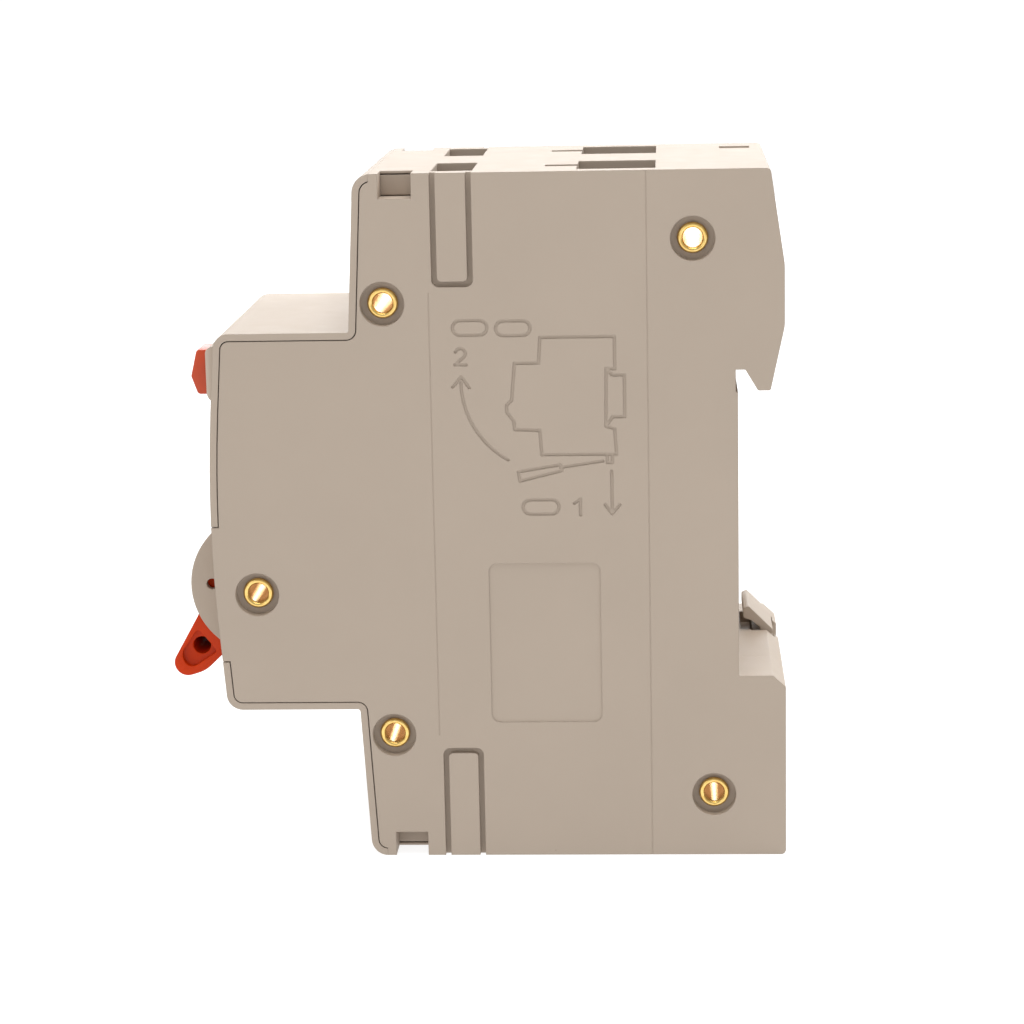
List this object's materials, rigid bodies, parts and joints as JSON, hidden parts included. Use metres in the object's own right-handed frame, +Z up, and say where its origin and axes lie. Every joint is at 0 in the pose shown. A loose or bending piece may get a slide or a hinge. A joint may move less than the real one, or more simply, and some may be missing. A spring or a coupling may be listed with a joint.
{
  "type": "residual current device",
  "caption": "Two-pole residual current device for a top-hat rail: split case, stepped front, tilting toggle, test button, sprung rail clip and four screw terminals.",
  "frame": {"origin": "centre of the back face that seats on the rail, at mid width and at the rail's centre line", "axes": "+Y out of the back towards the rail, +Z up across the rail, +X along the rail"},
  "size_m": [0.036, 0.0737, 0.0817],
  "materials": {
    "case_plastic": "fine matt thermoset moulding, warm grey-beige",
    "orange_plastic": "satin orange-red moulding",
    "brass": "drawn brass, bright",
    "steel": "zinc plated steel",
    "spring_steel": "spring wire",
    "copper": "bare copper",
    "silver": "silver alloy contact",
    "dark_plastic": "black moulding",
    "fibre": "vulcanised fibre card",
    "wire_blue": "insulated wire",
    "wire_brown": "insulated wire",
    "ferrite": "wound nanocrystalline core",
    "enamel": "enamelled winding wire",
    "board": "glass-epoxy board"
  },
  "bodies": {
    "case": {"arc_cheeks": "fibre", "arc_plates_1": "steel", "arc_plates_2": "steel", "board_diodes": "dark_plastic", "capacitor": "dark_plastic", "carrier_shaft": "steel", "case_rivets": "brass", "centre_frame": "case_plastic", "circuit_board": "board", "clip_spring": "spring_steel", "fixed_contact_tips": "silver", "front_fascia": "case_plastic", "left_side_shell": "case_plastic", "lower_terminal_bar_1": "copper", "lower_terminal_bar_2": "copper", "primary_conductor_1": "wire_brown", "primary_conductor_2": "wire_blue", "relay_coil": "enamel", "relay_housing": "dark_plastic", "relay_yoke": "steel", "right_side_shell": "case_plastic", "test_button_spring": "spring_steel", "test_contact_strip": "copper", "test_resistor": "fibre", "toggle_spring": "spring_steel", "toroid_core": "ferrite", "toroid_housing": "dark_plastic", "toroid_winding": "enamel", "trip_lever_pin": "steel", "upper_terminal_bar_1": "copper", "upper_terminal_bar_2": "copper"},
    "toggle": {"toggle_lever": "orange_plastic"},
    "link": {"toggle_link": "steel"},
    "carrier": {"contact_carrier": "dark_plastic", "moving_contact_1": "copper", "moving_contact_2": "copper", "moving_contact_tips": "silver"},
    "test_key": {"test_button": "orange_plastic"},
    "clip": {"rail_clip": "case_plastic"},
    "plunger": {"relay_plunger": "steel"},
    "trip": {"trip_lever": "dark_plastic"},
    "screw_upper_1": {"upper_terminal_screw_1": "steel"},
    "cage_upper_1": {"upper_cage_clamp_1": "steel"},
    "screw_lower_1": {"lower_terminal_screw_1": "steel"},
    "cage_lower_1": {"lower_cage_clamp_1": "steel"},
    "screw_upper_2": {"upper_terminal_screw_2": "steel"},
    "cage_upper_2": {"upper_cage_clamp_2": "steel"},
    "screw_lower_2": {"lower_terminal_screw_2": "steel"},
    "cage_lower_2": {"lower_cage_clamp_2": "steel"}
  },
  "joints": [
    {"name": "toggle_hinge", "type": "hinge", "parent": "case", "child": "toggle", "pos_m": [0, -0.0568, -0.0084], "axis": [-1, 0, 0], "range_deg": [0, 74]},
    {"name": "carrier_hinge", "type": "hinge", "parent": "case", "child": "carrier", "pos_m": [0, -0.03, -0.014], "axis": [-1, 0, 0], "range_deg": [0, 20]},
    {"name": "link_hinge", "type": "hinge", "parent": "toggle", "child": "link", "pos_m": [0, -0.05931, -0.00582], "axis": [-1, 0, 0], "range_deg": [-74, 0]},
    {"name": "test_button_slide", "type": "slide", "parent": "case", "child": "test_key", "axis": [0, 1, 0], "range_m": [0, 0.002], "stiffness_N_per_m": 300, "springref_m": -0.001, "deforming": ["test_button_spring"]},
    {"name": "rail_clip_slide", "type": "slide", "parent": "case", "child": "clip", "axis": [0, 0, -1], "range_m": [0, 0.0022], "stiffness_N_per_m": 700, "springref_m": -0.002, "deforming": ["clip_spring"]},
    {"name": "relay_plunger_slide", "type": "slide", "parent": "case", "child": "plunger", "axis": [0, 0, -1], "range_m": [0, 0.0012]},
    {"name": "trip_lever_hinge", "type": "hinge", "parent": "case", "child": "trip", "pos_m": [0.0082, -0.0365, 0.0023], "axis": [1, 0, 0], "range_deg": [0, 14]},
    {"name": "screw_turn_upper_1", "type": "hinge", "parent": "case", "child": "screw_upper_1", "pos_m": [0.0103, -0.03, 0.0335], "axis": [0, 1, 0], "range_deg": [0, 1800]},
    {"name": "cage_lift_upper_1", "type": "slide", "parent": "case", "child": "cage_upper_1", "axis": [0, -1, 0], "range_m": [0, 0.004]},
    {"name": "screw_turn_lower_1", "type": "hinge", "parent": "case", "child": "screw_lower_1", "pos_m": [0.0103, -0.03, -0.0335], "axis": [0, 1, 0], "range_deg": [0, 1800]},
    {"name": "cage_lift_lower_1", "type": "slide", "parent": "case", "child": "cage_lower_1", "axis": [0, -1, 0], "range_m": [0, 0.004]},
    {"name": "screw_turn_upper_2", "type": "hinge", "parent": "case", "child": "screw_upper_2", "pos_m": [-0.0103, -0.03, 0.0335], "axis": [0, 1, 0], "range_deg": [0, 1800]},
    {"name": "cage_lift_upper_2", "type": "slide", "parent": "case", "child": "cage_upper_2", "axis": [0, -1, 0], "range_m": [0, 0.004]},
    {"name": "screw_turn_lower_2", "type": "hinge", "parent": "case", "child": "screw_lower_2", "pos_m": [-0.0103, -0.03, -0.0335], "axis": [0, 1, 0], "range_deg": [0, 1800]},
    {"name": "cage_lift_lower_2", "type": "slide", "parent": "case", "child": "cage_lower_2", "axis": [0, -1, 0], "range_m": [0, 0.004]}
  ],
  "couplings": [
    {"joint": "carrier_hinge", "follows": "toggle_hinge", "ratio": 0.27027},
    {"joint": "link_hinge", "follows": "toggle_hinge", "ratio": -1},
    {"joint": "trip_lever_hinge", "follows": "relay_plunger_slide", "rad_per_m": 203.61},
    {"joint": "screw_turn_upper_1", "follows": "cage_lift_upper_1", "rad_per_m": 7853.9},
    {"joint": "screw_turn_lower_1", "follows": "cage_lift_lower_1", "rad_per_m": 7853.9},
    {"joint": "screw_turn_upper_2", "follows": "cage_lift_upper_2", "rad_per_m": 7853.9},
    {"joint": "screw_turn_lower_2", "follows": "cage_lift_lower_2", "rad_per_m": 7853.9}
  ]
}
